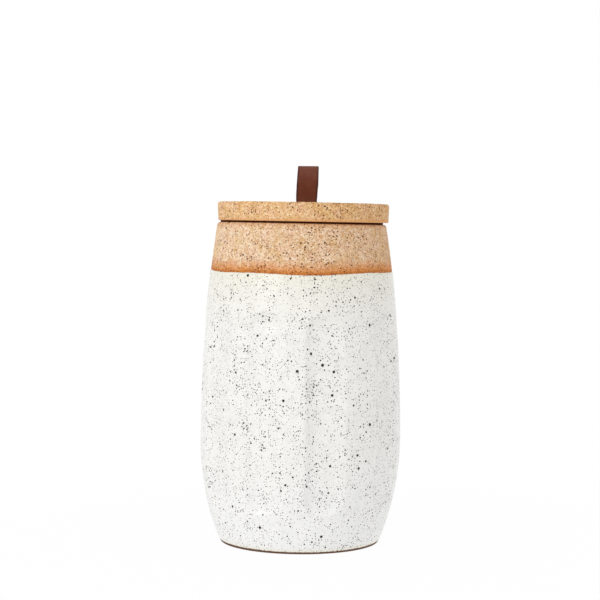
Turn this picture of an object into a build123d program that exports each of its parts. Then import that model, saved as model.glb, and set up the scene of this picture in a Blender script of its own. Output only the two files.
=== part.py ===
# A stoneware storage jar with a carved, barrel-shaped wall, a plug lid on a soft seal and a leather loop.
# Millimetres, +Z up, the origin at the middle of the foot, the front of the jar towards -Y.
from build123d import *
from math import atan, copysign, degrees, radians, sin, sqrt
import os

os.makedirs("parts", exist_ok=True)

# Barrel wall
foot_radius = 46.4
belly_radius = 58.8
belly_height = 61.0
rim_radius = 49.4
rim_height = 185.6
wall = 7.0
floor_thickness = 7.0
floor_round = 9.0
rim_wall = 6.4
mouth_land = 20.0
rim_round = 2.4
mouth_round = 1.2
foot_round = 0.8
foot_ring_width = 6.5
foot_recess = 1.6

# Flutes, carved one after the other round the belly, so the last land comes out wider than the rest
flute_count = 10
flute_pitch_angle = 35.0
first_flute_angle = -30.8
flute_depth = 2.9
flute_radius = 42.0
flute_low = 36.0
flute_high = 124.0
flute_end_radius = 25.0
flute_end_angle = 55.0

# Seal: a flange under the lid and a finned sleeve on the plug
seal_flange = 1.1
seal_flange_inset = 0.2
seal_sleeve = 1.6
seal_sleeve_height = 7.0
seal_fin_count = 2
seal_fin_height = 1.4
seal_mouth_clearance = 0.25
seal_fin_reach = 0.9
seal_running_clearance = 0.08

# Lid disc and its hollow plug
lid_overhang = 0.5
lid_taper = 0.35
lid_thickness = 10.8
lid_top_round = 1.3
lid_low_round = 0.5
plug_bead = 1.3
plug_bead_height = 5.0
plug_wall = 6.0
plug_round = 0.8

# Leather loop
strap_width = 12.0
strap_thickness = 1.9
strap_tail_gap = 0.2
strap_edge_round = 0.35
loop_height = 21.2
loop_half_depth = 6.4
tail_end = 5.5
tail_hole_clearance = 0.1

# Slot in the lid
slot_end_clearance = 0.6
slot_side_clearance = 0.3
slot_corner = 0.9
slot_mouth_round = 0.9

# Rivet through the tails
rivet_head_radius = 4.5
rivet_head_edge = 0.7
rivet_head_dome = 0.9
rivet_stem_radius = 1.4
rivet_socket_depth = 0.9
rivet_socket_clearance = 0.05
rivet_lid_clearance = 0.3

# Heights and radii that follow
lower_drop = belly_radius - foot_radius
lower_arc_radius = (belly_height**2 + lower_drop**2) / (2 * lower_drop)
upper_rise = rim_height - belly_height
upper_drop = belly_radius - rim_radius
upper_arc_radius = (upper_rise**2 + upper_drop**2) / (2 * upper_drop)
inner_belly_radius = belly_radius - wall
floor_radius = foot_radius - wall
mouth_radius = rim_radius - rim_wall
lid_radius = rim_radius + lid_overhang
lid_base = rim_height + seal_flange
lid_top = lid_base + lid_thickness
fin_radius = mouth_radius - seal_mouth_clearance
sleeve_radius = fin_radius - seal_fin_reach
sleeve_bore = sleeve_radius - seal_sleeve
groove_radius = sleeve_bore - seal_running_clearance
flange_radius = rim_radius - rim_round - seal_flange_inset
bead_top = lid_base - seal_sleeve_height - seal_running_clearance
bead_radius = groove_radius + plug_bead
plug_bottom = bead_top - plug_bead_height
hollow_radius = groove_radius - plug_wall
tail_centre = (strap_tail_gap + strap_thickness) / 2
tail_face = strap_tail_gap / 2 + strap_thickness
rivet_height = lid_base - rivet_lid_clearance - rivet_head_radius
tail_bottom = rivet_height - tail_end

# Scoop that carves one flute: its face follows the wall at the flute's depth and rounds out at both ends
scoop_face = belly_radius - flute_depth
scoop_axis_radius = scoop_face + flute_radius
low_reach = sqrt(lower_arc_radius**2 - (belly_height - flute_low) ** 2)
high_reach = sqrt(upper_arc_radius**2 - (flute_high - belly_height) ** 2)
low_inset = lower_arc_radius - copysign(low_reach, lower_arc_radius)
high_inset = upper_arc_radius - copysign(high_reach, upper_arc_radius)
belly_point = (scoop_face, belly_height)
with BuildPart() as scoop:
    with BuildSketch(Plane.XZ):
        with BuildLine():
            low_run = TangentArc(belly_point, (scoop_face - low_inset, flute_low), tangent=(0, -1))
            high_run = TangentArc(belly_point, (scoop_face - high_inset, flute_high), tangent=(0, 1))
            low_end = JernArc(low_run @ 1, low_run % 1, flute_end_radius, flute_end_angle)
            high_end = JernArc(high_run @ 1, high_run % 1, flute_end_radius, -flute_end_angle)
            low_corner = (scoop_axis_radius, (low_end @ 1).Y)
            high_corner = (scoop_axis_radius, (high_end @ 1).Y)
            Polyline(low_end @ 1, low_corner, high_corner, high_end @ 1)
        make_face()
    revolve(axis=Axis((scoop_axis_radius, 0, 0), (0, 0, 1)))

# Jar body: a turned barrel with a foot ring, then the flutes
with BuildPart() as jar_body:
    with BuildSketch(Plane.XZ) as wall_section:
        with BuildLine():
            TangentArc((belly_radius, belly_height), (foot_radius, 0), tangent=(0, -1))
            TangentArc((belly_radius, belly_height), (rim_radius, rim_height), tangent=(0, 1))
            land_foot = (mouth_radius, rim_height - mouth_land)
            Polyline((rim_radius, rim_height), (mouth_radius, rim_height), land_foot)
            TangentArc((inner_belly_radius, belly_height), land_foot, tangent=(0, 1))
            floor_edge = (floor_radius, floor_thickness)
            TangentArc((inner_belly_radius, belly_height), floor_edge, tangent=(0, -1))
            Polyline(floor_edge, (0, floor_thickness), (0, 0), (foot_radius, 0))
        make_face()
        fillet(wall_section.vertices().group_by(Axis.Y)[-1].sort_by(Axis.X)[-1], rim_round)
        fillet(wall_section.vertices().group_by(Axis.Y)[-1].sort_by(Axis.X)[0], mouth_round)
        fillet(wall_section.vertices().group_by(Axis.Y)[1].sort_by(Axis.X)[-1], floor_round)
        fillet(wall_section.vertices().group_by(Axis.Y)[0].sort_by(Axis.X)[-1], foot_round)
    revolve(axis=Axis.Z)
    with BuildSketch(Plane.XY):
        Circle(foot_radius - foot_ring_width)
    extrude(amount=foot_recess, mode=Mode.SUBTRACT)
    flute_range = flute_count * flute_pitch_angle
    with PolarLocations(0, flute_count, start_angle=first_flute_angle, angular_range=flute_range):
        add(scoop.part, mode=Mode.SUBTRACT)
jar_body.part.label = "jar_body"
export_step(jar_body.part, "parts/jar_body.step")

# Lid: a solid disc over a hollow plug, with a slot for the two tails of the leather
with BuildPart() as lid:
    with BuildSketch(Plane.XZ) as lid_section:
        with BuildLine():
            Polyline(
                (0, lid_top),
                (lid_radius, lid_top),
                (lid_radius - lid_taper, lid_base),
                (groove_radius, lid_base),
                (groove_radius, bead_top),
                (bead_radius, bead_top),
                (bead_radius, plug_bottom),
                (hollow_radius, plug_bottom),
                (hollow_radius, lid_base),
                (0, lid_base),
                close=True,
            )
        make_face()
        fillet(lid_section.vertices().group_by(Axis.Y)[-1].sort_by(Axis.X)[-1], lid_top_round)
        fillet(lid_section.vertices().group_by(Axis.Y)[2].sort_by(Axis.X)[-1], lid_low_round)
        fillet(lid_section.vertices().group_by(Axis.Y)[0], plug_round)
    revolve(axis=Axis.Z)
    with BuildSketch(Plane.XY.offset(lid_base)):
        slot_length = strap_width + 2 * slot_end_clearance
        slot_width = 2 * tail_face + 2 * slot_side_clearance
        RectangleRounded(slot_length, slot_width, slot_corner)
    extrude(amount=lid_thickness, mode=Mode.SUBTRACT)
    fillet(lid.faces().sort_by(Axis.Z)[-1].inner_wires()[0].edges(), slot_mouth_round)
lid.part.label = "lid"
export_step(lid.part, "parts/lid.step")

# Seal: the flange carries the lid on the rim, and the fins close the mouth
sleeve_bottom = lid_base - seal_sleeve_height
fin_pitch = (rim_height - sleeve_bottom) / seal_fin_count
with BuildPart() as lid_seal:
    with BuildSketch(Plane.XZ):
        with BuildLine():
            Polyline(
                (sleeve_bore, lid_base),
                (flange_radius, lid_base),
                (flange_radius, rim_height),
                (sleeve_radius, rim_height),
                (sleeve_radius, sleeve_bottom),
                (sleeve_bore, sleeve_bottom),
                close=True,
            )
        make_face()
        for fin in range(seal_fin_count):
            fin_root = sleeve_bottom + fin * fin_pitch
            with BuildLine():
                Polyline(
                    (sleeve_bore, fin_root),
                    (sleeve_radius, fin_root),
                    (fin_radius, fin_root + seal_fin_height),
                    (sleeve_bore, fin_root + seal_fin_height),
                    close=True,
                )
            make_face()
    revolve(axis=Axis.Z)
lid_seal.part.label = "lid_seal"
export_step(lid_seal.part, "parts/lid_seal.step")

# Leather loop: one strip, folded over, its flared sides closing to a pair of flat tails in the slot
loop_top = lid_top + loop_height
fold_radius = loop_half_depth - strap_thickness / 2
flare_rise = loop_top - loop_half_depth - lid_top
flare_spread = fold_radius - tail_centre
flare_angle = 2 * degrees(atan(flare_spread / flare_rise))
flare_radius = flare_rise / (2 * sin(radians(flare_angle)))
with BuildPart() as leather_loop:
    with BuildSketch(Plane.YZ):
        with BuildLine():
            tail = Line((tail_centre, tail_bottom), (tail_centre, lid_top))
            flare = JernArc(tail @ 1, tail % 1, flare_radius, -flare_angle)
            side = JernArc(flare @ 1, flare % 1, flare_radius, flare_angle)
            JernArc(side @ 1, side % 1, fold_radius, 90)
            mirror(about=Plane.YZ)
        trace(line_width=strap_thickness)
    extrude(amount=strap_width / 2, both=True)
    fillet(leather_loop.faces().filter_by(Axis.X).edges(), strap_edge_round)
    with BuildSketch(Plane.XZ):
        with Locations((0, rivet_height)):
            Circle(rivet_stem_radius + tail_hole_clearance)
    extrude(amount=loop_half_depth, both=True, mode=Mode.SUBTRACT)
leather_loop.part.label = "leather_loop"
export_step(leather_loop.part, "parts/leather_loop.step")

# Rivet: the post's stem goes through both tails into the cap, and both heads catch under the lid
rivet_axis = Axis((0, 0, rivet_height), (0, 1, 0))
head_edge = tail_face + rivet_head_edge
head_top = head_edge + rivet_head_dome
socket_end = tail_face + rivet_socket_depth
with BuildPart() as rivet_post:
    with BuildSketch(Plane.XY.offset(rivet_height)):
        with BuildLine():
            TangentArc((0, -head_top), (rivet_head_radius, -head_edge), tangent=(1, 0))
            Polyline(
                (rivet_head_radius, -head_edge),
                (rivet_head_radius, -tail_face),
                (rivet_stem_radius, -tail_face),
                (rivet_stem_radius, socket_end - rivet_socket_clearance),
                (0, socket_end - rivet_socket_clearance),
                (0, -head_top),
            )
        make_face()
    revolve(axis=rivet_axis)
rivet_post.part.label = "rivet_post"
export_step(rivet_post.part, "parts/rivet_post.step")

with BuildPart() as rivet_cap:
    with BuildSketch(Plane.XY.offset(rivet_height)):
        with BuildLine():
            TangentArc((0, head_top), (rivet_head_radius, head_edge), tangent=(1, 0))
            Polyline(
                (rivet_head_radius, head_edge),
                (rivet_head_radius, tail_face),
                (rivet_stem_radius + rivet_socket_clearance, tail_face),
                (rivet_stem_radius + rivet_socket_clearance, socket_end),
                (0, socket_end),
                (0, head_top),
            )
        make_face()
    revolve(axis=rivet_axis)
rivet_cap.part.label = "rivet_cap"
export_step(rivet_cap.part, "parts/rivet_cap.step")
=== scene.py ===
# %% [markdown]
# # A speckled stoneware storage jar
#
# This notebook dresses a imported CAD model of a storage jar: a hand-carved barrel of speckled
# stoneware, white glaze up to a bare clay band, a flat clay lid on a soft seal, and a leather loop to
# lift it by. The CAD model fixes the sizes and the moving bodies. Blender adds what clay, glaze and
# leather look like.
#
# We load the frame first.

# %% Load the frame
import math

import bpy
from mathutils import Euler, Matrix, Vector, noise


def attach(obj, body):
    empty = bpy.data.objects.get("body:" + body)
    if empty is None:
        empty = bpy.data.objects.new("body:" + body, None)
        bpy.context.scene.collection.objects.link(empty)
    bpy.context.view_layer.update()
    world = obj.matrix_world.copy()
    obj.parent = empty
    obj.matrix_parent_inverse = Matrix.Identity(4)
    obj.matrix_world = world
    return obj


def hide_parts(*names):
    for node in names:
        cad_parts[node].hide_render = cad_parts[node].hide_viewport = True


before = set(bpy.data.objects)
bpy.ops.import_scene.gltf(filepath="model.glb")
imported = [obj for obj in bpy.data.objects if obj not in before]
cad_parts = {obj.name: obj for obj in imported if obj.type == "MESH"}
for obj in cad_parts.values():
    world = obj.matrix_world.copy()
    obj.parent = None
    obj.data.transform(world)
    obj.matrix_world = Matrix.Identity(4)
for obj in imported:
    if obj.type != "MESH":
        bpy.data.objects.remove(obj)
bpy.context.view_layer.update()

MM = 0.001

# %% [markdown]
# ## The camera
#
# The jar is seen almost level from about a metre away, through a long lens, so its foot curves gently
# and its lid shows only its edge. A camera can be placed by eye. This one was placed by how much the
# foot, the rim and the lid curve, which fixes its height and its distance. A small roll gives the
# slight lean that the jar has in the picture.

# %% Camera
LENS_MM = 103.0
SENSOR_MM = 36
CAMERA_DISTANCE = 1002
CAMERA_HEIGHT = 186
CAMERA_TILT = 2.578
CAMERA_ROLL = 0.48
CAMERA_ASIDE = -0.7

bpy.ops.object.select_all(action="DESELECT")
bpy.ops.object.camera_add(location=(CAMERA_ASIDE * MM, -CAMERA_DISTANCE * MM, CAMERA_HEIGHT * MM))
camera = bpy.context.object
camera.name = "jar_camera"
aim = Euler((math.radians(90 - CAMERA_TILT), 0, 0)).to_matrix()
roll = Euler((0, 0, math.radians(CAMERA_ROLL))).to_matrix()
camera.rotation_euler = (aim @ roll).to_euler()
camera.data.lens = LENS_MM
camera.data.sensor_width = SENSOR_MM
bpy.context.scene.camera = camera
print("camera at", tuple(round(value, 4) for value in camera.location))

# %% [markdown]
# ## Turned work
#
# Pots are turned, so most pieces here start as a section line that is spun round the upright axis. To
# draw a section by hand you would merge a plane to one point and extrude that point along the
# outline. The helpers below do the same. Corners are rounded first, because clay and silicone have no
# sharp ones.

# %% Section lines
def rounded(corners, steps=5):
    """Points along an outline of (radius, height, rounding) corners, each rounding being a small arc."""
    points = []
    for index, (x, z, size) in enumerate(corners):
        corner = Vector((x, z))
        if size == 0:
            points.append((x, z))
            continue
        back = (Vector(corners[index - 1][:2]) - corner).normalized()
        onward = (Vector(corners[index + 1][:2]) - corner).normalized()
        half = back.angle(onward) / 2
        centre = corner + (back + onward).normalized() * size / math.sin(half)
        first = corner + back * size / math.tan(half) - centre
        last = corner + onward * size / math.tan(half) - centre
        for step in range(steps + 1):
            spoke = first.normalized().slerp(last.normalized(), step / steps)
            points.append(tuple(centre + spoke * size))
    return points


def draw_section(name, points):
    """A new object in edit mode: one vertex, extruded from point to point in the XZ plane."""
    bpy.ops.object.select_all(action="DESELECT")
    bpy.ops.mesh.primitive_plane_add(size=MM)
    piece = bpy.context.object
    piece.name = name
    bpy.ops.object.mode_set(mode="EDIT")
    bpy.ops.mesh.select_mode(type="VERT")
    bpy.ops.mesh.select_all(action="SELECT")
    bpy.ops.mesh.merge(type="CENTER")
    bpy.ops.transform.translate(value=(points[0][0] * MM, 0, points[0][1] * MM))
    for (x, z), (next_x, next_z) in zip(points, points[1:]):
        step = ((next_x - x) * MM, 0, (next_z - z) * MM)
        bpy.ops.mesh.extrude_region_move(TRANSFORM_OT_translate={"value": step})
    return piece


# %% Wheel
WELD = 0.002


def turn_on_wheel(piece, steps):
    """Spin the section all the way round, close it and smooth it."""
    bpy.ops.mesh.select_all(action="SELECT")
    bpy.ops.mesh.spin(steps=steps, angle=math.tau, center=(0, 0, 0), axis=(0, 0, 1))
    bpy.ops.mesh.select_all(action="SELECT")
    bpy.ops.mesh.remove_doubles(threshold=WELD * MM)
    bpy.ops.mesh.normals_make_consistent(inside=False)
    bpy.ops.object.mode_set(mode="OBJECT")
    bpy.ops.object.shade_smooth()
    print(piece.name, "turned,", len(piece.data.polygons), "faces")


# %% [markdown]
# ## The jar's section
#
# The wall is two arcs that meet at the belly, inside and outside. A Screw modifier on a curve would
# turn it too, with rows of points at even distances. Drawn as a mesh, the rows can lie close together
# where something happens, at the ends of the flutes and along the glaze line, and further apart where
# the wall is plain. The section is drawn at the bare clay. The glaze is laid on top of it afterwards.

# %% Jar profile
FOOT_RADIUS = 46.4
BELLY_RADIUS = 58.8
BELLY_HEIGHT = 61.0
RIM_RADIUS = 49.4
RIM_HEIGHT = 185.6
WALL = 7.0
FLOOR = 7.0
MOUTH_RADIUS = 43.0
MOUTH_LAND = 20.0
GLAZE = 0.35
HAND_DEPTH = 0.5
HAND_LOW = 4.0
HAND_HIGH = 182.0
HAND_RUN_IN = 12.0


def clamp(value):
    return max(0.0, min(1.0, value))


def bow(rise, drop, height):
    """How far an arc that drops that much over that rise has come in at that height from its start."""
    radius = (rise**2 + drop**2) / (2 * drop)
    return radius - math.sqrt(radius**2 - height**2)


def outer_radius(z):
    if z < BELLY_HEIGHT:
        return BELLY_RADIUS - bow(BELLY_HEIGHT, BELLY_RADIUS - FOOT_RADIUS, BELLY_HEIGHT - z)
    return BELLY_RADIUS - bow(RIM_HEIGHT - BELLY_HEIGHT, BELLY_RADIUS - RIM_RADIUS, z - BELLY_HEIGHT)


def inner_radius(z):
    belly = BELLY_RADIUS - WALL
    land = RIM_HEIGHT - MOUTH_LAND
    if z < BELLY_HEIGHT:
        return belly - bow(BELLY_HEIGHT - FLOOR, BELLY_RADIUS - FOOT_RADIUS, BELLY_HEIGHT - z)
    return belly - bow(land - BELLY_HEIGHT, belly - MOUTH_RADIUS, z - BELLY_HEIGHT)


def hand_fade(z):
    """Where the hand shows: not at the foot and not at the rim, which have to fit."""
    return clamp((z - HAND_LOW) / HAND_RUN_IN) * clamp((HAND_HIGH - z) / HAND_RUN_IN)


def clay_radius(z):
    """The bare wall, drawn back by the glaze and by half of what the hand adds later."""
    return outer_radius(z) - GLAZE - hand_fade(z) * HAND_DEPTH / 2


print("belly", 2 * BELLY_RADIUS, "mm across")

# %% Jar section
WHEEL_STEPS = 432
RIM_ROUND = 1.9
MOUTH_ROUND = 1.2
FLOOR_ROUND = 6.0
FOOT_ROUND = 0.8
FOOT_RING = 6.5
FOOT_RECESS = 1.6
WALL_FOOT = 4.0
WALL_HEAD = 183.0
LAND_HEAD = 180
FLOOR_HEAD = 17
FLOOR_MIDDLE = 20
WALL_STRETCHES = (
    (5, 1.25), (20, 0.8), (40, 2.4), (118, 0.8), (140, 1.3), (154, 0.3), (163, 1.2), (WALL_HEAD, 1))
LAND_STRETCHES = ((177, -3), (165, 1))
INSIDE_STRETCHES = ((162, -8), (BELLY_HEIGHT, -6), (21, 1))


def rows(*stretches):
    """Heights from the first stop to the last, each stretch being (stop, spacing up to the next one)."""
    heights = []
    for (low, spacing), (high, _) in zip(stretches, stretches[1:]):
        count = round((high - low) / spacing)
        heights += [low + (high - low) * index / count for index in range(count)]
    return heights


foot_edge = FOOT_RADIUS - GLAZE
ring_edge = FOOT_RADIUS - FOOT_RING
underside = rounded([
    (0, FOOT_RECESS, 0), (ring_edge / 2, FOOT_RECESS, 0), (ring_edge, FOOT_RECESS, FOOT_ROUND),
    (ring_edge, 0, FOOT_ROUND / 2), (foot_edge, 0, FOOT_ROUND),
    (outer_radius(WALL_FOOT) - GLAZE, WALL_FOOT, 0)])
wall = [(clay_radius(z), z) for z in rows(*WALL_STRETCHES)]
rim = rounded([
    (outer_radius(WALL_HEAD) - GLAZE, WALL_HEAD, 0), (RIM_RADIUS - GLAZE, RIM_HEIGHT, RIM_ROUND),
    (MOUTH_RADIUS, RIM_HEIGHT, MOUTH_ROUND), (MOUTH_RADIUS, LAND_HEAD, 0)])
land = [(MOUTH_RADIUS, z) for z in rows(*LAND_STRETCHES)]
inside = [(inner_radius(z), z) for z in rows(*INSIDE_STRETCHES)]
floor = rounded([
    (inner_radius(FLOOR_HEAD), FLOOR_HEAD, 0), (inner_radius(FLOOR), FLOOR, FLOOR_ROUND),
    (FLOOR_MIDDLE, FLOOR, 0), (0, FLOOR, 0)])
jar_section = underside + wall + rim + land + inside + floor

jar_shell = draw_section("jar_shell", jar_section)
turn_on_wheel(jar_shell, WHEEL_STEPS)

# %% [markdown]
# ## Carving the flutes
#
# The maker cut ten shallow flutes into the leather-hard wall, one after the other, so the last land
# came out wider than the rest. Each is a scoop with a round hollow and arched ends, where the tool
# went in and came out in a short steep bank. It is deeper on its left, less so at its upper end, and
# no two flutes end at quite the same height.
#
# Boolean cuts would leave knife edges and ragged faces. A glazed pot has soft ones, so the depth of
# the scoop is painted as weights, with its edge eased, and the wall is pushed in by those weights.

# %% Flutes
FLUTE_COUNT = 10
FLUTE_PITCH = 35.0
FIRST_FLUTE = -30.8
FLUTE_DEPTH = 2.9
FLUTE_RADIUS = 42.0
FLUTE_LOW = 34.5
FLUTE_HIGH = 124.0
FLUTE_END = 12.5
BANK_RUN_IN = 5.0
FLUTE_EASE = 0.2
FLUTE_SLANT = 0.3
FLUTE_STRAY = 1.2
LOW_STRAY_TURN = 1.7
HIGH_STRAY_TURN = 2.2
FLUTED_FROM = 15.0
FLUTED_TO = 145.0
WALL_SKIN = 4.9


def push(piece, name, weight_of, strength):
    """Move the surface along its normals: a vertex group says how much, and Displace moves it."""
    group = piece.vertex_groups.new(name=name)
    for vertex in piece.data.vertices:
        weight = weight_of(vertex.co / MM)
        if weight > 0:
            group.add([vertex.index], weight, "REPLACE")
    modifier = piece.modifiers.new(name, "DISPLACE")
    modifier.direction = "NORMAL"
    modifier.mid_level = 0
    modifier.strength = strength * MM
    modifier.vertex_group = name
    bpy.ops.object.modifier_apply(modifier=name)
    piece.vertex_groups.remove(piece.vertex_groups[name])


def on_wall(place):
    """True on the outside of the jar, flutes and all, between foot and rim."""
    radius = math.hypot(place.x, place.y)
    return 0 < place.z < RIM_HEIGHT - RIM_ROUND and radius > outer_radius(place.z) - WALL_SKIN


def flute_weight(place):
    """The depth of the scoop at that place, as a share of its full depth."""
    if not on_wall(place) or not FLUTED_FROM < place.z < FLUTED_TO:
        return 0
    turn = (math.degrees(math.atan2(place.y, place.x)) - FIRST_FLUTE + FLUTE_PITCH / 2) % 360
    index = min(turn // FLUTE_PITCH, FLUTE_COUNT - 1)
    before_last = FLUTE_COUNT - 1 - index
    low = FLUTE_LOW - FLUTE_STRAY * math.cos(LOW_STRAY_TURN * before_last)
    high = FLUTE_HIGH - FLUTE_STRAY * math.cos(HIGH_STRAY_TURN * before_last)
    past_end = max(low - place.z, place.z - high, 0)
    bank = clamp(past_end / BANK_RUN_IN)
    slant = FLUTE_SLANT * (1 - clamp((place.z - high) / BANK_RUN_IN))

    radius = outer_radius(place.z)
    roundness = 1 / (2 * radius) + 1 / (2 * FLUTE_RADIUS)
    across = math.radians(turn - FLUTE_PITCH * (index + 0.5)) * radius
    deepest = -slant * math.sqrt(FLUTE_DEPTH / roundness)
    across = (across - deepest) / (1 - slant if across < deepest else 1 + slant)
    from_middle = (past_end / FLUTE_END) ** 2 + across**2 * roundness / FLUTE_DEPTH
    depth = FLUTE_DEPTH * (1 - from_middle ** (1 + bank))
    if abs(depth) < FLUTE_EASE:
        depth = (depth + FLUTE_EASE) ** 2 / (4 * FLUTE_EASE)
    return clamp(depth / FLUTE_DEPTH)


push(jar_shell, "flutes", flute_weight, -FLUTE_DEPTH)
print("flutes", FLUTE_COUNT, "deepest", FLUTE_DEPTH, "mm")

# %% [markdown]
# ## Hand and glaze
#
# A hand-made wall is never quite true. Sculpting could show that, but a slow noise that pushes the
# wall in and out by a few tenths of a millimetre is the same on every run. Then the glaze goes on: a
# coat a third of a millimetre thick, with a soft edge that wanders round the jar. The same waves give
# the line in the mesh and, later, in the material. Last, the rim is tipped by a little over half a
# degree, as a rim settles in the kiln.

# %% Hand and glaze
HAND_REACH = 42.0
GLAZE_LINE = 157.85
GLAZE_WAVES = ((2, 0.95, -5.0), (3, 0.35, 52.0), (5, 0.45, -7.0))
FOOT_LINE = 1.55
FOOT_WAVES = ((2, 0.25, -8.0),)
GLAZE_EDGE = 0.8


def wavy_line(turn, level, waves, cosine=math.cos):
    """Height of a line at that turn from the front. A wave is (count, depth, shift in degrees)."""
    for count, depth, shift in waves:
        level = level - depth * cosine(count * (turn + math.radians(shift)))
    return level


def hand_weight(place):
    if not on_wall(place):
        return 0
    return hand_fade(place.z) * (0.5 + 0.5 * noise.noise(place / HAND_REACH))


def glaze_weight(place):
    if not on_wall(place):
        return 0
    turn = math.atan2(place.x, -place.y)
    below = clamp((wavy_line(turn, GLAZE_LINE, GLAZE_WAVES) - place.z) / GLAZE_EDGE)
    above_foot = clamp((place.z - wavy_line(turn, FOOT_LINE, FOOT_WAVES)) / GLAZE_EDGE)
    return math.sqrt(below * above_foot)


push(jar_shell, "hand", hand_weight, HAND_DEPTH)
push(jar_shell, "glaze", glaze_weight, GLAZE)
print("glaze", GLAZE, "mm thick, up to about", GLAZE_LINE, "mm")

# %% Rim
RIM_TILT = 0.6
RIM_TILT_LOW = 163.0


def tip(piece, share_of, angle, aside):
    """Lean part of a piece down to the right and move it aside. The share says how much a point does."""
    slope = math.tan(math.radians(angle))
    for vertex in piece.data.vertices:
        share = share_of(vertex.co / MM)
        vertex.co.z -= share * slope * vertex.co.x
        vertex.co.x += share * aside * MM


def rim_share(place):
    return clamp((place.z - RIM_TILT_LOW) / (RIM_HEIGHT - RIM_TILT_LOW))


tip(jar_shell, rim_share, RIM_TILT, 0)
rim_top = max(vertex.co.z for vertex in jar_shell.data.vertices)
print("rim", round(rim_top / MM, 2), "mm up at its highest")

# %% [markdown]
# ## The lid
#
# The lid is a thick disc with a hollow plug below. A cylinder with insets and bevels would give it
# too, but it was turned like the jar, and so it is here. Its edge is a touch out of true, and a thin
# lip runs round the bottom of it where the clay was trimmed. Like the rim, the disc has settled a
# little, and it sits slightly to the right, while the plug stays true, because it turns in the seal.

# %% Lid
SEAL_FLANGE = 1.1
LID_BASE = RIM_HEIGHT + SEAL_FLANGE
LID_TOP = LID_BASE + 10.8
LID_RADIUS = 49.9
LID_TAPER = 0.35
LID_TOP_ROUND = 1.2
LID_LOW_ROUND = 0.5
LID_STEPS = 300
TOP_RINGS = (0, 9, 18, 27, 36, 42, 46)
UNDER_RING = 46
PLUG_REACH = 43.5
GROOVE_RADIUS = 40.17
BEAD_RADIUS = 41.47
BEAD_TOP = LID_BASE - 7.08
PLUG_BOTTOM = BEAD_TOP - 5.0
PLUG_ROUND = 0.8
HOLLOW_RADIUS = 34.17
HOLLOW_RING = 16
EDGE_DEPTH = 0.4
EDGE_SPACING = 0.7
LIP = 0.08
LIP_HEIGHT = 1.2

edge_radius = LID_RADIUS - EDGE_DEPTH / 2
low_radius = edge_radius - LID_TAPER
lid_face = LID_TOP - EDGE_DEPTH / 2
lip_top = LID_BASE + LIP_HEIGHT
taper = LID_TAPER / (lid_face - LID_BASE)
edge_rows = rows((lid_face - 1.8, -EDGE_SPACING), (lip_top + 0.4, -1))
lid_corners = [(radius, lid_face, 0) for radius in TOP_RINGS]
lid_corners += [(edge_radius, lid_face, LID_TOP_ROUND)]
lid_corners += [(edge_radius - taper * (lid_face - z), z, 0) for z in edge_rows]
lid_corners += [
    (low_radius, lip_top, 0), (low_radius + LIP, lip_top - 2 * LIP, 0),
    (low_radius + LIP, LID_BASE, LID_LOW_ROUND), (UNDER_RING, LID_BASE, 0), (PLUG_REACH, LID_BASE, 0),
    (GROOVE_RADIUS, LID_BASE, 0), (GROOVE_RADIUS, BEAD_TOP, 0), (BEAD_RADIUS, BEAD_TOP, 0),
    (BEAD_RADIUS, PLUG_BOTTOM, PLUG_ROUND), (HOLLOW_RADIUS, PLUG_BOTTOM, PLUG_ROUND),
    (HOLLOW_RADIUS, LID_BASE, PLUG_ROUND), (HOLLOW_RING, LID_BASE, 0), (0, LID_BASE, 0)]
lid_disc = draw_section("lid_disc", rounded(lid_corners, steps=4))
turn_on_wheel(lid_disc, LID_STEPS)

# %% Lid edge
LID_ASIDE = 0.9
LID_TILT = 0.58
LUMP_SIZE = 9
DENT_SIZE = 3
SETTLE_RUN_IN = 2.5


def lid_edge_weight(place):
    """Uneven clay on the top and the edge, none on the underside and the plug."""
    unevenness = 0.5 + 0.3 * noise.noise(place / LUMP_SIZE) + 0.15 * noise.noise(place / DENT_SIZE)
    return clamp(place.z - LID_BASE) * unevenness


def lid_share(place):
    """The disc goes along as a whole, apart from what is over the plug and its seal."""
    if place.z <= LID_BASE - 1:
        return 0
    outward = clamp((math.hypot(place.x, place.y) - PLUG_REACH) / SETTLE_RUN_IN)
    upward = clamp((place.z - LID_BASE) / (LID_TOP - LID_BASE))
    return max(outward, upward)


push(lid_disc, "edge", lid_edge_weight, EDGE_DEPTH)
tip(lid_disc, lid_share, LID_TILT, LID_ASIDE)
print("lid", round(lid_disc.dimensions.x / MM, 1), "mm across")

# %% [markdown]
# ## The slot for the leather
#
# The slot goes right through the lid and has a soft mouth, so that the leather isn't cut. A slot
# through a disc has no turned form, so it is taken out with a Boolean. The cutter starts as a cube.
# Its upright edges are bevelled, and its top is drawn out wider, step by step along a quarter circle.

# %% Selecting and cutting
def select_where(piece, parts, test):
    """Select the vertices, edges or faces of a piece that pass the test, and go into edit mode."""
    bpy.ops.object.mode_set(mode="EDIT")
    bpy.ops.mesh.select_mode(type={"vertices": "VERT", "edges": "EDGE", "polygons": "FACE"}[parts])
    bpy.ops.mesh.select_all(action="DESELECT")
    bpy.ops.object.mode_set(mode="OBJECT")
    for part in getattr(piece.data, parts):
        part.select = test(part)
    bpy.ops.object.mode_set(mode="EDIT")


def cut_with(piece, cutter):
    """Take the cutter out of the piece with an applied Boolean, and throw the cutter away."""
    bpy.ops.object.select_all(action="DESELECT")
    bpy.context.view_layer.objects.active = piece
    piece.select_set(True)
    modifier = piece.modifiers.new("cut", "BOOLEAN")
    modifier.operation = "DIFFERENCE"
    modifier.object = cutter
    bpy.ops.object.modifier_apply(modifier="cut")
    bpy.data.objects.remove(cutter)


# %% Slot cutter
SLOT_LENGTH = 14.4
SLOT_WIDTH = 4.7
SLOT_ASIDE = 1.6
SLOT_CORNER = 0.9
CORNER_STEPS = 5
OVERRUN = 3.0
SLOT_MOUTH = 0.9

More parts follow.
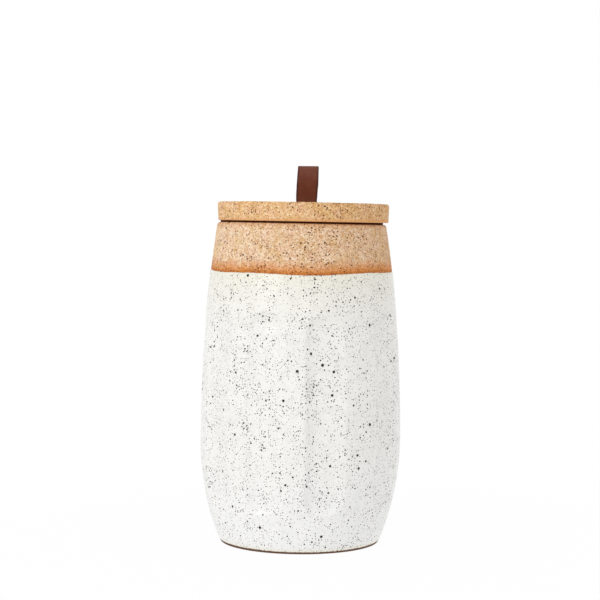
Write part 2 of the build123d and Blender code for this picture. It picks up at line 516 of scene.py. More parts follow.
slot_low = LID_BASE - OVERRUN
slot_high = LID_TOP - SLOT_MOUTH
slot_middle = (slot_low + slot_high) / 2
bpy.ops.object.select_all(action="DESELECT")
bpy.ops.mesh.primitive_cube_add(size=MM, location=(SLOT_ASIDE * MM, 0, slot_middle * MM))
slot_cutter = bpy.context.object
slot_cutter.scale = (SLOT_LENGTH, SLOT_WIDTH, slot_high - slot_low)
bpy.ops.object.transform_apply(location=True, rotation=False, scale=True)


def is_upright(edge):
    ends = [slot_cutter.data.vertices[index].co for index in edge.vertices]
    return abs(ends[0].z - ends[1].z) > MM


select_where(slot_cutter, "edges", is_upright)
bpy.ops.mesh.bevel(offset=SLOT_CORNER * MM, segments=CORNER_STEPS)
bpy.ops.object.mode_set(mode="OBJECT")
print("slot cutter,", len(slot_cutter.data.polygons), "faces")

# %% Slot in the lid
MOUTH_STEPS = 5
FACING_UP = 0.9
SLOT_CREASE = 35

select_where(slot_cutter, "polygons", lambda face: face.normal.z > FACING_UP)
wide, rise = 0, 0
for step in range(1, MOUTH_STEPS + 1):
    angle = math.pi / 2 * step / MOUTH_STEPS
    wider, higher = SLOT_MOUTH * (1 - math.cos(angle)), SLOT_MOUTH * math.sin(angle)
    bpy.ops.mesh.extrude_region_move(TRANSFORM_OT_translate={"value": (0, 0, (higher - rise) * MM)})
    longer = (SLOT_LENGTH + 2 * wider) / (SLOT_LENGTH + 2 * wide)
    broader = (SLOT_WIDTH + 2 * wider) / (SLOT_WIDTH + 2 * wide)
    bpy.ops.transform.resize(value=(longer, broader, 1), center_override=(SLOT_ASIDE * MM, 0, 0))
    wide, rise = wider, higher
bpy.ops.mesh.extrude_region_move(TRANSFORM_OT_translate={"value": (0, 0, OVERRUN * MM)})
bpy.ops.object.mode_set(mode="OBJECT")
cut_with(lid_disc, slot_cutter)
bpy.ops.object.shade_smooth_by_angle(angle=math.radians(SLOT_CREASE))
print("lid with its slot,", len(lid_disc.data.polygons), "faces")

# %% [markdown]
# ## The seal
#
# A dark silicone ring sits on the lid's plug. Its flange fills the line between lid and jar, and two thin
# fins close the mouth. Its dark brown is partly the silicone and partly painted shade, set as dark as the
# shaded line between lid and jar. Stacked rings would do from afar, but it is one moulded piece, so it is
# another turned section, with small roundings. The rim and the lid have both settled out of level, so the
# flange is drawn half a millimetre into each of them, as a soft ring is pressed between them.

# %% Seal
SLEEVE_BORE = 40.25
SLEEVE_RADIUS = 41.85
SLEEVE_BOTTOM = LID_BASE - 7.0
SLEEVE_SEAM = LID_BASE - 3.0
SLEEVE_ROUND = 0.2
SLEEVE_TOP_ROUND = 0.1
FIN_COUNT = 2
FIN_RADIUS = 42.75
FIN_HEIGHT = 1.4
FIN_PITCH = 2.95
FIN_TIP_ROUND = 0.1
INNER_ROUND = 0.15
FLANGE_RADIUS = 47.3
FLANGE_PRESS = 0.5
FLANGE_ROUND = 0.25
SEAL_STEPS = 180

flange_low = RIM_HEIGHT - FLANGE_PRESS
flange_high = LID_BASE + FLANGE_PRESS
seal_corners = [(SLEEVE_BORE, SLEEVE_SEAM, 0), (SLEEVE_BORE, SLEEVE_BOTTOM, SLEEVE_ROUND)]
for fin in range(FIN_COUNT):
    root = SLEEVE_BOTTOM + fin * FIN_PITCH
    seal_corners += [
        (SLEEVE_RADIUS, root, INNER_ROUND), (FIN_RADIUS, root + FIN_HEIGHT, FIN_TIP_ROUND),
        (SLEEVE_RADIUS, root + FIN_HEIGHT, INNER_ROUND)]
seal_corners += [
    (SLEEVE_RADIUS, flange_low, INNER_ROUND), (FLANGE_RADIUS, flange_low, FLANGE_ROUND),
    (FLANGE_RADIUS, flange_high, FLANGE_ROUND), (SLEEVE_RADIUS, flange_high, 0),
    (SLEEVE_RADIUS, LID_BASE, 0), (SLEEVE_BORE, LID_BASE, SLEEVE_TOP_ROUND),
    (SLEEVE_BORE, SLEEVE_SEAM, 0)]
seal_ring = draw_section("seal_ring", rounded(seal_corners, steps=3))
turn_on_wheel(seal_ring, SEAL_STEPS)

# %% [markdown]
# ## The leather loop
#
# One strip of leather is folded over, with both tails pushed down through the slot and riveted below.
# A curve with a flat bevel would follow the route as well, but it twists. So we start from a plane as
# wide as the strip, draw its edge along the route by extruding, give it thickness with Solidify and
# soften the cut edges with Bevel. The strip leans a little to the right, as leather does when it has
# been pulled on, and it is a little fuller halfway up.

# %% Leather route
STRAP_THICKNESS = 1.9
TAIL_CENTRE = 1.05
TAIL_SPACING = 3.4
LOOP_HEIGHT = 21.5
LOOP_SPACING = 0.95
FOLD_RADIUS = 5.45
FOLD_STEPS = 16
RIVET_HEIGHT = LID_BASE - 4.8
TAIL_BOTTOM = RIVET_HEIGHT - 5.5
fold_centre = LID_TOP + LOOP_HEIGHT - FOLD_RADIUS - STRAP_THICKNESS / 2


def strap_half_gap(z):
    """Half the distance between the middles of the loop's two sides: closed in the slot, then flaring."""
    share = clamp((z - LID_TOP) / (fold_centre - LID_TOP))
    return TAIL_CENTRE + (FOLD_RADIUS - TAIL_CENTRE) * share**2 * (3 - 2 * share)


def fold_point(step):
    """A point (y, z) of the half circle at the top of the loop."""
    angle = math.pi * step / FOLD_STEPS
    return -FOLD_RADIUS * math.cos(angle), fold_centre + FOLD_RADIUS * math.sin(angle)


side_heights = rows((TAIL_BOTTOM, TAIL_SPACING), (LID_TOP, LOOP_SPACING), (fold_centre, 1))
front_side = [(-strap_half_gap(z), z) for z in side_heights]
fold = [fold_point(step) for step in range(FOLD_STEPS + 1)]
back_side = [(-y, z) for y, z in reversed(front_side)]
strap_route = front_side + fold + back_side
print("strip", len(strap_route), "points along its route")

# %% Leather strip
STRAP_WIDTH = 12.0
STRAP_CUTS = 9
STRAP_FULLNESS = 0.045
STRAP_WOBBLE = 0.12
WOBBLE_SIZE = 5
TAIL_ASIDE = 0.7
LEAN_IN_LID = 1.8
LEAN_IN_LOOP = 1.1


def strap_aside(z, limit=clamp):
    """The middle of the strip at that height. The limit is what keeps a share from 0 to 1."""
    in_lid = limit((z - RIVET_HEIGHT) / (LID_TOP - RIVET_HEIGHT))
    in_loop = limit((z - LID_TOP) / LOOP_HEIGHT)
    return TAIL_ASIDE + LEAN_IN_LID * in_lid + LEAN_IN_LOOP * in_loop


bpy.ops.object.select_all(action="DESELECT")
bpy.ops.mesh.primitive_plane_add(size=STRAP_WIDTH * MM)
leather_strap = bpy.context.object
leather_strap.name = "leather_strap"
select_where(leather_strap, "vertices", lambda vertex: vertex.co.y > 0)
bpy.ops.mesh.delete(type="VERT")
bpy.ops.mesh.select_all(action="SELECT")
bpy.ops.mesh.subdivide(number_cuts=STRAP_CUTS)
start_y, start_z = strap_route[0]
bpy.ops.transform.translate(value=(0, (start_y + STRAP_WIDTH / 2) * MM, start_z * MM))
for (y, z), (next_y, next_z) in zip(strap_route, strap_route[1:]):
    step = (0, (next_y - y) * MM, (next_z - z) * MM)
    bpy.ops.mesh.extrude_region_move(TRANSFORM_OT_translate={"value": step})
bpy.ops.mesh.select_all(action="SELECT")
bpy.ops.mesh.normals_make_consistent(inside=False)
bpy.ops.object.mode_set(mode="OBJECT")
for vertex in leather_strap.data.vertices:
    place = vertex.co / MM
    share = clamp((place.z - LID_TOP) / LOOP_HEIGHT)
    fuller = 1 + STRAP_FULLNESS * math.sin(math.pi * share)
    wobble = STRAP_WOBBLE * noise.noise(place / WOBBLE_SIZE)
    vertex.co.x = (place.x * fuller + wobble + strap_aside(place.z)) * MM
print("leather", len(leather_strap.data.polygons), "faces in the flat")

# %% Leather thickness and rivet hole
EDGE_ROUND = 0.55
EDGE_STEPS = 4
EDGE_ANGLE = 60
RIVET_HOLE = 1.5
HOLE_SIDES = 32
STRAP_CREASE = 50

thickness = leather_strap.modifiers.new("thickness", "SOLIDIFY")
thickness.thickness = STRAP_THICKNESS * MM
thickness.offset = 0
thickness.use_even_offset = True
soft_edges = leather_strap.modifiers.new("soft_edges", "BEVEL")
soft_edges.width = EDGE_ROUND * MM
soft_edges.segments = EDGE_STEPS
soft_edges.limit_method = "ANGLE"
soft_edges.angle_limit = math.radians(EDGE_ANGLE)
for name in ("thickness", "soft_edges"):
    bpy.ops.object.modifier_apply(modifier=name)
bpy.ops.object.select_all(action="DESELECT")
bpy.ops.mesh.primitive_cylinder_add(
    vertices=HOLE_SIDES, radius=RIVET_HOLE * MM, depth=2 * FOLD_RADIUS * MM,
    location=(0, 0, RIVET_HEIGHT * MM), rotation=(math.pi / 2, 0, 0))
hole_cutter = bpy.context.object
bpy.ops.object.transform_apply(location=True, rotation=True, scale=True)
cut_with(leather_strap, hole_cutter)
bpy.ops.object.shade_smooth_by_angle(angle=math.radians(STRAP_CREASE))
print("leather", len(leather_strap.data.polygons), "faces with its thickness")

# %% [markdown]
# ## Writing shader maths in Python
#
# The finishes are built from nodes. A small class wraps one socket, so that sums and products can be
# written as plain expressions, and one method adds any other node.

# %% Socket wrapper
class Wire:
    """One output socket of a material's node tree."""

    def __init__(self, tree, socket):
        self.tree = tree
        self.socket = socket

    def node(self, kind, settings, inputs, output=0):
        """Add a node, set its settings, feed its sockets and return one of its outputs."""
        node = self.tree.nodes.new(kind)
        for name, value in settings.items():
            setattr(node, name, value)
        for name, value in inputs.items():
            if isinstance(value, Wire):
                self.tree.links.new(value.socket, node.inputs[name])
            else:
                node.inputs[name].default_value = value
        return Wire(self.tree, node.outputs[output])

    def other(self, name):
        """Another output of the same node."""
        return Wire(self.tree, self.socket.node.outputs[name])

    def maths(self, operation, first, second=0.0):
        return self.node("ShaderNodeMath", {"operation": operation}, {0: first, 1: second})

    def __add__(self, value):
        return self.maths("ADD", self, value)

    def __radd__(self, value):
        return self.maths("ADD", value, self)

    def __sub__(self, value):
        return self.maths("SUBTRACT", self, value)

    def __rsub__(self, value):
        return self.maths("SUBTRACT", value, self)

    def __mul__(self, value):
        return self.maths("MULTIPLY", self, value)

    def __rmul__(self, value):
        return self.maths("MULTIPLY", value, self)

    def __truediv__(self, value):
        return self.maths("DIVIDE", self, value)

    def clamped(self):
        return self.node("ShaderNodeClamp", {}, {"Value": self})

    def mixed(self, first, second, blend="MIX"):
        """First colour where this value is 0, second, or the two blended, where it is 1."""
        settings = {"data_type": "RGBA", "blend_type": blend}
        return self.node("ShaderNodeMix", settings, {0: self, 6: first, 7: second}, output=2)


# %% Colours and finishes
def tone(red, green, blue):
    """A colour given as the eye sees it, 0 to 255, as the linear colour that a shader needs."""
    parts = []
    for value in (red, green, blue):
        share = value / 255
        parts.append(share / 12.92 if share <= 0.04045 else ((share + 0.055) / 1.055) ** 2.4)
    return (*parts, 1.0)


def new_finish(name):
    """A material, the wire of its object coordinates and its shader."""
    material = bpy.data.materials.new(name)
    material.use_nodes = True
    tree = material.node_tree
    place = Wire(tree, tree.nodes.new("ShaderNodeTexCoord").outputs["Object"])
    return material, place, tree.nodes["Principled BSDF"]


def feed(shader, **wires):
    """Link wires to the shader's sockets, named with underscores."""
    for name, wire in wires.items():
        wire.tree.links.new(wire.socket, shader.inputs[name.replace("_", " ")])


# %% [markdown]
# ## Specks and grain
#
# Iron in the clay burns through as dark specks. A painted image could show them, but it would need
# unwrapping and would stretch. Here each layer of specks is a cloud of points in space, one in each
# cell of a Voronoi texture. A point near the surface leaves a round dot, and chance sets its size, so
# no two are alike. Softer marks come from noise, with its contrast turned up or down.

# %% Specks
RAGGED_SIZE = 0.8


def cloud(place, size, detail=2.0, rough=0.5, drift=(0, 0, 0)):
    """Soft noise from 0 to 1, with blotches of about that size in millimetres."""
    moved = place.node("ShaderNodeVectorMath", {"operation": "ADD"}, {0: place, 1: drift})
    inputs = {"Vector": moved, "Scale": 1 / (size * MM), "Detail": detail, "Roughness": rough}
    return place.node("ShaderNodeTexNoise", {}, inputs, output="Fac")


def patches(place, size, contrast, detail=3.0, rough=0.6, drift=(0, 0, 0)):
    """The same noise with more contrast, so that it parts into patches."""
    return ((cloud(place, size, detail, rough, drift) - 0.5) * contrast + 0.5).clamped()


def specks(place, cell, reach, spread, drift, blur=0.1, crowd=1.0, ragged=0.0):
    """1 inside round specks: one in each cell, up to that reach in millimetres, fading over the blur.
    The crowd makes them larger in some places than in others, and ragged ones have an uneven edge."""
    moved = place.node("ShaderNodeVectorMath", {"operation": "ADD"}, {0: place, 1: drift})
    dots = place.node("ShaderNodeTexVoronoi", {}, {"Vector": moved, "Scale": 1 / (cell * MM)})
    chance = place.node("ShaderNodeSeparateColor", {}, {"Color": dots.other("Color")})
    size = reach * crowd * (1 - spread + spread * chance)
    if ragged:
        size = size + ragged * (cloud(place, RAGGED_SIZE) - 0.5)
    return ((size - dots * cell) / blur).clamped()


# %% [markdown]
# ## Stoneware
#
# One recipe serves the jar and the lid: a warm ground with pink and straw patches, sandy grain, pale
# grog, and brown and black specks. A single speckle texture would look printed, so there are layers
# of three sizes, and they crowd together in places. The glaze shows only the specks, burnt through it
# in three sizes. The largest have bled a faint brown halo.

# %% Clay colour
STRAW = tone(222, 178, 106)
PINK = tone(240, 196, 168)
SANDY = (0.68, 0.53, 0.38, 1)
# Painted shade: a darker clay tone laid over the right-hand side, away from the lamp.
SHADED_SIDE_TONE = tone(200, 148, 96)
SHADED_SIDE_REACH = 100.0
BROWN_GRAIN = tone(126, 70, 20)
DARK_GRAIN = tone(98, 50, 8)
BLACK_GRAIN = tone(46, 22, 4)


def clay_colour(place, ground, pale, grog, drift, stains=()):
    """Speckled bare clay: two grounds, patches, pale grog, painted shade towards the right, stains, a
    sandy shade and dark grains.
    """
    colour = patches(place, 4.0, contrast=3.2, detail=4.0, rough=0.65, drift=drift).mixed(ground, pale)
    straw_or_pink = patches(place, 7.0, contrast=6.0, detail=2.0, rough=0.5, drift=(0.4, 0.2, 0.1))
    patched = patches(place, 4.0, contrast=3.0, drift=(0.1, 0.5, 0.2)) * 0.65
    colour = patched.mixed(colour, straw_or_pink.mixed(STRAW, PINK))
    pale_grog = specks(place, cell=1.3, reach=0.62, spread=0.6, drift=drift, blur=0.2) * 0.78
    colour = pale_grog.mixed(colour, grog)
    # Painted shade: the clay darkens towards the right, the side turned away from the lamp.
    east = place.node("ShaderNodeSeparateXYZ", {}, {0: place}) / MM
    colour = ((east / SHADED_SIDE_REACH + 0.5).clamped() * 0.36).mixed(colour, SHADED_SIDE_TONE)
    for share, stain in stains:
        colour = share.mixed(colour, stain)
    sanded = patches(place, 1.4, contrast=5.0, detail=3.0, rough=0.65, drift=drift) * 0.74
    colour = sanded.mixed(colour, SANDY, "MULTIPLY")

    crowd = 0.75 + 0.5 * patches(place, 8.0, contrast=3.0, detail=2.0, rough=0.5, drift=(0.6, 0.1, 0.3))
    fine = specks(
        place, cell=0.95, reach=0.41, spread=0.7, drift=(0.31, 0.17, 0.05), blur=0.08, crowd=crowd)
    middling = specks(
        place, cell=2.0, reach=0.56, spread=0.6, drift=(0.73, 0.52, 0.91), blur=0.08, crowd=crowd,
        ragged=0.4)
    large = specks(
        place, cell=5.6, reach=0.76, spread=0.5, drift=(0.21, 0.07, 0.45), blur=0.1, crowd=crowd,
        ragged=0.4)
    grains = ((fine * 0.85, BROWN_GRAIN), (middling * 0.9, DARK_GRAIN), (large, BLACK_GRAIN))
    for share, grain in grains:
        colour = share.mixed(colour, grain)
    return colour


# %% Glaze colour
GLAZE_WHITE = tone(237, 236, 233)
GLAZE_SHADE = tone(228, 227, 223)
GLAZE_COOL_LOW = tone(239, 239, 239)
GLAZE_THIN = tone(229, 225, 209)
GLAZE_LIGHT = tone(246, 245, 241)
FINE_SPECK = tone(80, 68, 58)
DARK_SPECK = tone(26, 22, 20)
BLACK_SPECK = tone(6, 5, 5)
HALO = tone(188, 168, 140)
LARGE_DRIFT = (0.45, 0.11, 0.67)


def glaze_colour(place, thick, thin):
    """White glaze, cooler towards the bottom and warmer where it is thin, with three sizes of specks."""
    colour = patches(place, 6.0, contrast=3.0, detail=3.0, rough=0.6).mixed(GLAZE_WHITE, GLAZE_SHADE)
    # The share named thick is largest low on the jar, so this makes the glaze cooler towards the bottom.
    colour = (thick * 0.6).mixed(colour, GLAZE_COOL_LOW)
    colour = thin.mixed(colour, GLAZE_THIN)
    flecks = patches(place, 1.1, contrast=5.0, detail=2.0, rough=0.6, drift=(0.9, 0.4, 0.6)) * 0.4
    colour = flecks.mixed(colour, GLAZE_LIGHT)

    crowd = 0.75 + 0.5 * patches(place, 6.5, contrast=3.0, detail=2.0, rough=0.5, drift=(0.7, 0.3, 0.2))
    fine = specks(
        place, cell=0.98, reach=0.335, spread=0.7, drift=(0.13, 0.29, 0.02), blur=0.05, crowd=crowd)
    middling = specks(
        place, cell=2.02, reach=0.48, spread=0.62, drift=(0.33, 0.09, 0.14), blur=0.05, crowd=crowd)
    halo = specks(place, cell=6.8, reach=1.4, spread=0.5, drift=LARGE_DRIFT, blur=0.6)
    large = specks(place, cell=6.8, reach=0.94, spread=0.6, drift=LARGE_DRIFT, blur=0.06, ragged=0.5)
    marks = ((fine * 0.9, FINE_SPECK), (middling, DARK_SPECK), (halo * 0.3, HALO), (large, BLACK_SPECK))
    for share, mark in marks:
        colour = share.mixed(colour, mark)
    return colour


# %% [markdown]
# On the jar, the glaze stops at a wandering line. The clay just above it has flashed orange in the kiln,
# strongest right at the line, and the rim has browned a little. Below, a thin bare line runs round the
# foot, and the underside is bare. That foot line is painted dark brown, partly for the bare clay and
# partly as painted shade where the jar meets the floor. The inside has its own line, just under the rim.
# Separate materials for clay and glaze would meet in a jagged line of faces. All this depends on height
# and turn, so one finish reads the object's own coordinates and repeats the waves of the mesh.

# %% Jar finish
BAND_GROUNDS = (tone(238, 208, 170), tone(250, 230, 204), tone(255, 247, 229))
RIM_BROWN = tone(216, 162, 108)
FLASH_ORANGE = tone(218, 132, 34)
BURNT = tone(156, 84, 30)
# The foot's dark brown is partly bare clay and partly painted shade where the jar meets the floor.
FOOT_BROWN_AND_SHADE = tone(92, 60, 40)
RIM_WARMTH_LOW = 182.1
RIM_WARMTH_REACH = 3.0
LINE_BLUR = 0.3
LINE_RAGGED = 0.7
FOOT_SHADE_REACH = 0.8
THIN_REACH = 40.0
FOOT_REACH = 2.5
COOL_LOW_REACH = 55.0
GLAZE_BUMP = 0.16


def jar_finish(name, level, waves, foot_level, foot_waves, flash_depth, bare_within):
    """Glaze from the foot line up to the glaze line and outside one radius, bare clay elsewhere."""
    material, place, shader = new_finish(name)
    east = place.node("ShaderNodeSeparateXYZ", {}, {0: place})
    north, height = east.other("Y"), east.other("Z") / MM
    turn = east.maths("ARCTAN2", east, -1 * north)
    line, foot_line = (
        wavy_line(turn, base, ups_and_downs, cosine=lambda angle: angle.maths("COSINE", angle))
        for base, ups_and_downs in ((level, waves), (foot_level, foot_waves)))
    radius = east.maths("SQRT", east * east + north * north) / MM
    ragged = (cloud(place, 1.6) - 0.5) * LINE_RAGGED
    above = height - line + ragged
    low = height - foot_line + ragged
    outside = ((radius - bare_within) / LINE_BLUR).clamped()
    on_side = (low / LINE_BLUR + 0.5).clamped() * outside
    glazed = (0.5 - above / LINE_BLUR).clamped() * on_side

    browned = ((height - RIM_WARMTH_LOW) / RIM_WARMTH_REACH).clamped() * 0.5
    reach = flash_depth * (0.55 + 0.9 * cloud(place, 9.0))
    flash = (1.15 - above / reach).clamped() * on_side * 0.92
    blotched = 0.3 + 0.6 * patches(place, 2.5, contrast=4.0)
    burn = (1 - above / (0.3 * reach)).clamped() * on_side * blotched
    stains = ((browned, RIM_BROWN), (flash, FLASH_ORANGE), (burn, BURNT))
    clay = clay_colour(place, *BAND_GROUNDS, (0, 0, 0), stains)
    # Painted shade along the foot line: dark brown that is partly the bare clay and partly the shade
    # where the jar meets the floor.
    foot_brown_and_shade = (1 - low / FOOT_SHADE_REACH).clamped() * outside
    clay = foot_brown_and_shade.mixed(clay, FOOT_BROWN_AND_SHADE)

    upper, lower = (1 + above / THIN_REACH).clamped(), (1 - low / FOOT_REACH).clamped()
    cooler_low = (1.2 - height / COOL_LOW_REACH).clamped()
    colour = glazed.mixed(clay, glaze_colour(place, cooler_low, (upper * upper + lower).clamped()))
    rough = 0.86 - glazed * (0.62 - 0.12 * cloud(place, 6.0))
    grain = cloud(place, 0.7, 3.0, 0.6) * (1 - glazed) + glazed * 0.25 * cloud(place, 5.0)
    relief = {"Strength": 0.6, "Distance": GLAZE_BUMP * MM, "Height": grain}
    feed(shader, Base_Color=colour, Roughness=rough, Normal=place.node("ShaderNodeBump", {}, relief))
    return material


# %% Jar finishes
FLASH_DEPTH = 6.9
UNDERSIDE_RADIUS = FOOT_RADIUS - 2
INSIDE_LINE = 180.6
INSIDE_WAVES = ((3, 0.25, 10.0), (4, 0.2, 40.0))
INSIDE_FLASH = 2.0

wall_finish = jar_finish(
    "speckled_stoneware", GLAZE_LINE, GLAZE_WAVES, FOOT_LINE, FOOT_WAVES, FLASH_DEPTH,
    bare_within=UNDERSIDE_RADIUS)
inside_finish = jar_finish(
    "stoneware_inside", INSIDE_LINE, INSIDE_WAVES, 0, (), INSIDE_FLASH, bare_within=-1)
print("stoneware nodes", len(wall_finish.node_tree.nodes))

# %% [markdown]
# The lid is the same clay without glaze, a shade deeper. The trimmed lip at its bottom edge is
# smoother and more orange, because trimming drags the fine clay over the grog.

# %% Lid finish
LID_GROUNDS = (tone(235, 188, 130), tone(249, 217, 169), tone(255, 239, 201))
LIP_ORANGE = tone(220, 160, 100)
CLAY_BUMP = 0.18


def lid_finish():
    material, place, shader = new_finish("bare_stoneware")
    colour = clay_colour(place, *LID_GROUNDS, (0.2, 0.1, 0.3))
    height = place.node("ShaderNodeSeparateXYZ", {}, {0: place}, output="Z") / MM
    lip = (1.6 - (height - LID_BASE) / (LIP_HEIGHT * (0.6 + 0.8 * cloud(place, 6.0)))).clamped()
    colour = (lip * 0.75).mixed(colour, LIP_ORANGE)
    grain = cloud(place, 0.7, 3.0, 0.6)
    rough = 0.8 + 0.12 * grain
    relief = {"Strength": 0.6, "Distance": CLAY_BUMP * MM, "Height": grain}
    feed(shader, Base_Color=colour, Roughness=rough, Normal=place.node("ShaderNodeBump", {}, relief))
    return material


clay_finish = lid_finish()
print("lid nodes", len(clay_finish.node_tree.nodes))

# %% [markdown]
# ## Leather, silicone and brass
#
# Leather is never one brown: it has a fine pebbled grain, a slow change of tone, and cut edges that are
# darker where they were burnished. The top of the fold is a little lighter, as painted light from above.
# The edges could be a second material on their faces, but a burnish has no sharp limit. How far a point
# is from the strip's middle follows from the same lean as the mesh. The seal is dark silicone, with
# painted shade in its colour, and the rivet under the lid is aged brass.

# %% Leather finish
BROWN = tone(102, 50, 33)
LIGHT_BROWN = tone(119, 63, 43)
GRAIN_BROWN = tone(69, 32, 21)
# Painted light: a lighter brown for the top of the fold, where light falls from above.
TOP_LIGHT_BROWN = tone(150, 98, 80)
EDGE_BROWN = tone(54, 28, 22)
EDGE_BAND = 1.3
PEBBLE = 0.55
LEATHER_BUMP = 0.12
LEATHER_SHINE = 0.3
TOP_LIGHT_REACH = 6.0
TOP_LIGHT_LOW = LID_TOP + LOOP_HEIGHT - TOP_LIGHT_REACH


def leather_finish():
    material, place, shader = new_finish("brown_leather")
    east = place.node("ShaderNodeSeparateXYZ", {}, {0: place})
    height = east.other("Z") / MM
    aside = east / MM - strap_aside(height, limit=Wire.clamped)
    from_edge = STRAP_WIDTH / 2 - aside.maths("ABSOLUTE", aside)
    burnished = (1 - from_edge / (EDGE_BAND * (0.6 + 0.8 * cloud(place, 3.0)))).clamped()
    colour = patches(place, 4.0, contrast=2.0, detail=4.0).mixed(BROWN, LIGHT_BROWN)
    cells = {"Vector": place, "Scale": 1 / (PEBBLE * MM)}
    pebbled = place.node("ShaderNodeTexVoronoi", {"feature": "SMOOTH_F1"}, cells)
    grain = pebbled * 0.6 + cloud(place, 0.25) * 0.4
    colour = (grain * 0.35).mixed(colour, GRAIN_BROWN)
    # Painted light: the top of the fold is made a little lighter, where light falls on it from above.
    lit_top = ((height - TOP_LIGHT_LOW) / TOP_LIGHT_REACH).clamped()
    colour = (lit_top * 0.08).mixed(colour, TOP_LIGHT_BROWN)
    colour = (burnished * 0.8).mixed(colour, EDGE_BROWN)
    rough = 0.62 + 0.18 * grain
    relief = {"Strength": 0.5, "Distance": LEATHER_BUMP * MM, "Height": grain}
    feed(shader, Base_Color=colour, Roughness=rough, Normal=place.node("ShaderNodeBump", {}, relief))
    shader.inputs["Specular IOR Level"].default_value = LEATHER_SHINE
    return material


strap_leather = leather_finish()
print("leather nodes", len(strap_leather.node_tree.nodes))

# %% Silicone and brass
# Painted shade: both seal browns are set as dark as the shaded line between lid and jar.
SEAL_BROWN_AND_SHADE = tone(54, 20, 6)
SEAL_DUSTY_AND_SHADE = tone(70, 30, 12)
SEAL_SHINE = 0.06
BRASS = tone(196, 158, 92)
TARNISHED = tone(122, 88, 48)


def seal_finish():
    material, place, shader = new_finish("seal_silicone")
    # Silicone colour and painted shade together: the flange shows as the dark line between lid and jar.
    dust = cloud(place, 2.5, 3.0, 0.6)
    feed(shader, Base_Color=dust.mixed(SEAL_BROWN_AND_SHADE, SEAL_DUSTY_AND_SHADE), Roughness=0.75 + 0.2 * dust)
    shader.inputs["Specular IOR Level"].default_value = SEAL_SHINE
    return material


def brass_finish():
    material, place, shader = new_finish("aged_brass")
    tarnish = ((cloud(place, 2.2, 4.0, 0.6) - 0.45) * 3).clamped()
    feed(shader, Base_Color=tarnish.mixed(BRASS, TARNISHED), Roughness=0.28 + 0.3 * tarnish)
    shader.inputs["Metallic"].default_value = 1.0
    return material


seal_rubber = seal_finish()
rivet_brass = brass_finish()
print("finishes", sorted(material.name for material in (seal_rubber, rivet_brass)))

# %% [markdown]
# ## Dressing the pieces
#
# Each piece gets its finish, rides on the CAD body that carries it and hides the CAD node that it
# replaces. Faces inside the jar take the inside glaze, picked by their place. The two halves of the rivet
# keep their CAD shape.

# %% Assign finishes
UNDERSIDE_TOP = FOOT_RECESS + 1


def dress(piece, *finishes):
    piece.data.materials.clear()
    for finish in finishes:
        piece.data.materials.append(finish)


def is_inside(face):
    place = face.center / MM
    if not UNDERSIDE_TOP < place.z < RIM_HEIGHT - MOUTH_ROUND:
        return False
    return math.hypot(place.x, place.y) < outer_radius(place.z) - WALL_SKIN


dress(jar_shell, wall_finish, inside_finish)
for face in jar_shell.data.polygons:
    face.material_index = 1 if is_inside(face) else 0
dress(lid_disc, clay_finish)
dress(seal_ring, seal_rubber)
dress(leather_strap, strap_leather)
for node in ("rivet_post", "rivet_cap"):
    dress(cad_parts[node], rivet_brass)

for piece, body, node, slot in (
    (jar_shell, "jar", "jar_body", "glazed_stoneware"),
    (lid_disc, "lid", "lid", "bare_stoneware"),
    (seal_ring, "seal", "lid_seal", "seal_silicone"),
    (leather_strap, "lid", "leather_loop", "loop_leather"),
):
    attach(piece, body)
    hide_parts(node)
    print(piece.name, "rides on", body)

# %% [markdown]
# ## Floor, world and lamps
#
# The jar stands on a plain white sweep. Strong lamps could make a floor white, but they would bleach
# the glaze. So the floor looks white to the camera through Is Camera Ray, and a small share of its
# real shading keeps the faint shadow. To scattered rays it gives back an even pale light, as a wide
# white table does. One large soft lamp stands high at the front left, a small one low in front lights
# the underside of the belly, as a white card would, and the rest is even light from all round.

# %% Floor
WHITE = (1, 1, 1, 1)
FLOOR_COLOUR = (0.92, 0.92, 0.92, 1)
FLOOR_ROUGHNESS = 0.9
FLOOR_SIZE = 8.0
FLOOR_GLOW = 0.95
FLOOR_BOUNCE = 0.92
FLOOR_NEAR = 0.08
FLOOR_FADE = 0.25


def seen_directly(tree):
    """1 for rays that should meet plain white: the camera's, reflected ones and those through glass."""
    camera_ray = Wire(tree, tree.nodes.new("ShaderNodeLightPath").outputs["Is Camera Ray"])
    seen = camera_ray
    for ray in ("Is Glossy Ray", "Is Transmission Ray"):
        seen = seen.maths("MAXIMUM", seen, camera_ray.other(ray))
    return seen


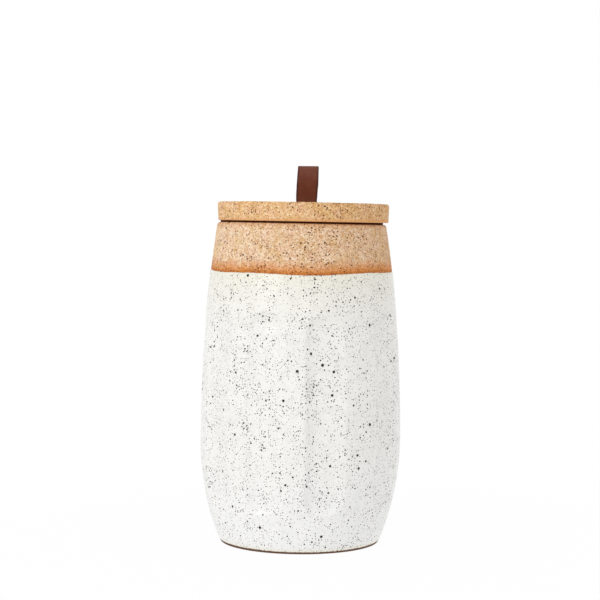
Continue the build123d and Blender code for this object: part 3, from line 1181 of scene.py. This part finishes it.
def white_floor():
    """White where it is seen directly, apart from the shadow near the jar, and pale to scattered rays."""
    material, place, shader = new_finish("white_floor")
    tree = material.node_tree
    shader.inputs["Base Color"].default_value = FLOOR_COLOUR
    shader.inputs["Roughness"].default_value = FLOOR_ROUGHNESS
    scattered = place.node("ShaderNodeLightPath", {}, {}, output="Is Diffuse Ray")
    bounced = (FLOOR_BOUNCE, FLOOR_BOUNCE, FLOOR_BOUNCE, 1)
    glow = place.node("ShaderNodeEmission", {}, {"Color": scattered.mixed(WHITE, bounced)})
    lit = Wire(tree, shader.outputs["BSDF"])
    away = place.node("ShaderNodeVectorMath", {"operation": "LENGTH"}, {0: place}, output="Value")
    share = FLOOR_GLOW + (1 - FLOOR_GLOW) * ((away - FLOOR_NEAR) / FLOOR_FADE).clamped()
    seen = seen_directly(tree)
    glowing = seen.maths("MAXIMUM", seen * share, scattered)
    mix = place.node("ShaderNodeMixShader", {}, {0: glowing, 1: lit, 2: glow})
    tree.links.new(mix.socket, tree.nodes["Material Output"].inputs["Surface"])
    material.cycles.emission_sampling = "NONE"
    return material


bpy.ops.object.select_all(action="DESELECT")
bpy.ops.mesh.primitive_plane_add(size=FLOOR_SIZE)
studio_floor = bpy.context.object
studio_floor.name = "studio_floor"
studio_floor.data.materials.append(white_floor())
print("floor", FLOOR_SIZE, "m across")

# %% World and lamps
WORLD_LIGHT = 0.85
LAMPS = {
    "key_lamp": {"place": (-0.95, -1.1, 0.75), "size": 0.7, "power": 5.6, "aim": 0.10},
    "card_lamp": {"place": (-0.1, -0.7, 0.05), "size": 0.4, "power": 0.2, "aim": 0.04},
}

world = bpy.data.worlds.new("studio")
bpy.context.scene.world = world
world.use_nodes = True
background = world.node_tree.nodes["Background"]
background.inputs["Color"].default_value = WHITE
strength = WORLD_LIGHT + (1 - WORLD_LIGHT) * seen_directly(world.node_tree)
world.node_tree.links.new(strength.socket, background.inputs["Strength"])

for name, lamp in LAMPS.items():
    bpy.ops.object.light_add(type="AREA", location=lamp["place"])
    light = bpy.context.object
    light.name = name
    light.data.energy = lamp["power"]
    light.data.size = lamp["size"]
    towards = Vector((0, 0, lamp["aim"])) - light.location
    light.rotation_euler = towards.to_track_quat("-Z", "Y").to_euler()
    print(name, lamp["power"], "W")

# %% [markdown]
# ## Finish
#
# The Standard view transform shows colours as they are written.

# %% View transform
bpy.context.scene.view_settings.view_transform = "Standard"
